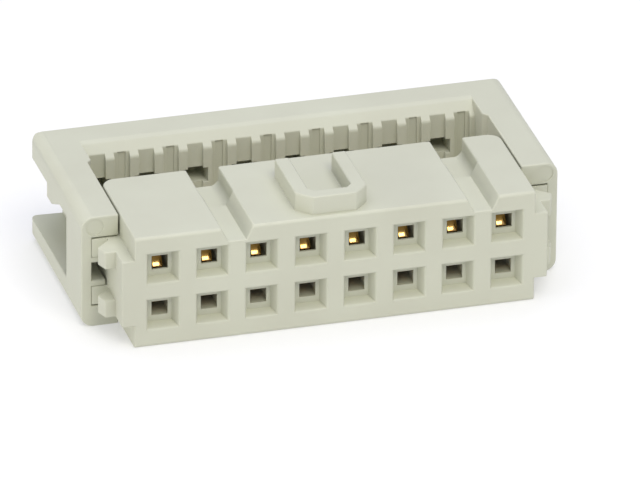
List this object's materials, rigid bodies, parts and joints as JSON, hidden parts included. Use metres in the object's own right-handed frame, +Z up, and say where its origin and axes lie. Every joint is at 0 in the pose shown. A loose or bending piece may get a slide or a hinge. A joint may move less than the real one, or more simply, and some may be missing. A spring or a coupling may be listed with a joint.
{
  "type": "idc socket connector",
  "caption": "Two-row female ribbon-cable socket: keyed moulded housing with stamped fork contacts, and a slotted U-shaped cover that slides on to press the cable.",
  "frame": {"origin": "on the surface the part lies on, under the middle of its box with the cover open", "axes": "+X along the rows, +Y from the mating face towards the cable cover, +Z up, on the key's side"},
  "size_m": [0.0248, 0.0128, 0.0071],
  "materials": {
    "housing_plastic": "fine matt moulded, pale grey-beige",
    "cover_plastic": "fine matt moulded, pale grey-beige",
    "contact_plating": "gold-plated spring strip"
  },
  "bodies": {
    "socket_body": {"housing": "housing_plastic", "contact_01": "contact_plating", "contact_02": "contact_plating", "contact_03": "contact_plating", "contact_04": "contact_plating", "contact_05": "contact_plating", "contact_06": "contact_plating", "contact_07": "contact_plating", "contact_08": "contact_plating", "contact_09": "contact_plating", "contact_10": "contact_plating", "contact_11": "contact_plating", "contact_12": "contact_plating", "contact_13": "contact_plating", "contact_14": "contact_plating", "contact_15": "contact_plating", "contact_16": "contact_plating"},
    "cover_body": {"cover": "cover_plastic"}
  },
  "joints": [
    {"name": "cover_slide", "type": "slide", "parent": "socket_body", "child": "cover_body", "axis": [0, -1, 0], "range_m": [0, 0.0025]}
  ]
}
